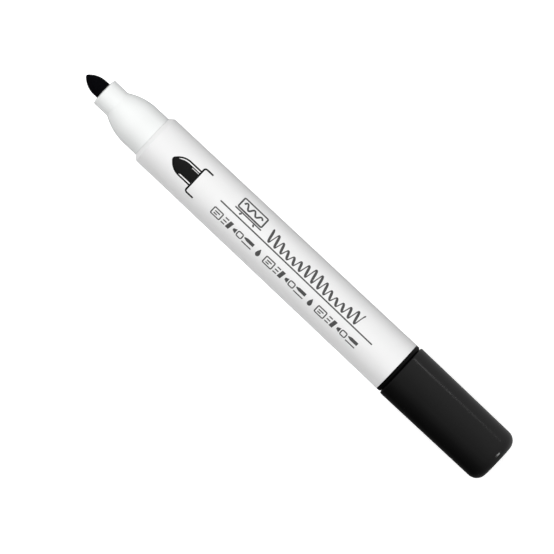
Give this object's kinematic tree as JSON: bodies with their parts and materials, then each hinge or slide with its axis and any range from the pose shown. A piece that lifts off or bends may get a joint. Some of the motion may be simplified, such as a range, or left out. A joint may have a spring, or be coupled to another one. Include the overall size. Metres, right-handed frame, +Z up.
{
  "type": "whiteboard marker",
  "caption": "Bullet-tip whiteboard marker lying on its side, with a drafted white barrel, a bell-shaped nose and a black cap posted on its rear plug.",
  "frame": {"origin": "middle of the marker's length, on the surface that it lies on, under the cap's widest point", "axes": "+X along the marker's axis from the nib to the cap's closed end, +Z up, the printed face up"},
  "size_m": [0.1572, 0.017, 0.017],
  "materials": {
    "barrel_plastic": "satin white polypropylene",
    "nose_plastic": "semi-gloss white polypropylene",
    "nib_felt": "pressed acrylic fibre soaked in black ink",
    "ink_fibre": "polyester fibre bundle soaked in black ink",
    "clear_film": "clear film",
    "plug_plastic": "glossy black polypropylene",
    "cap_plastic": "satin black polypropylene",
    "inner_cap_plastic": "natural polyethylene"
  },
  "bodies": {
    "marker": {"barrel": "barrel_plastic", "nose_cone": "nose_plastic", "nib": "nib_felt", "reservoir_fibre": "ink_fibre", "reservoir_film": "clear_film", "rear_plug": "plug_plastic"},
    "cap": {"cap_shell": "cap_plastic", "inner_cap": "inner_cap_plastic"}
  },
  "joints": [
    {"name": "cap_slide", "type": "slide", "parent": "marker", "child": "cap", "axis": [1, 0, 0], "range_m": [0, 0.04]}
  ]
}
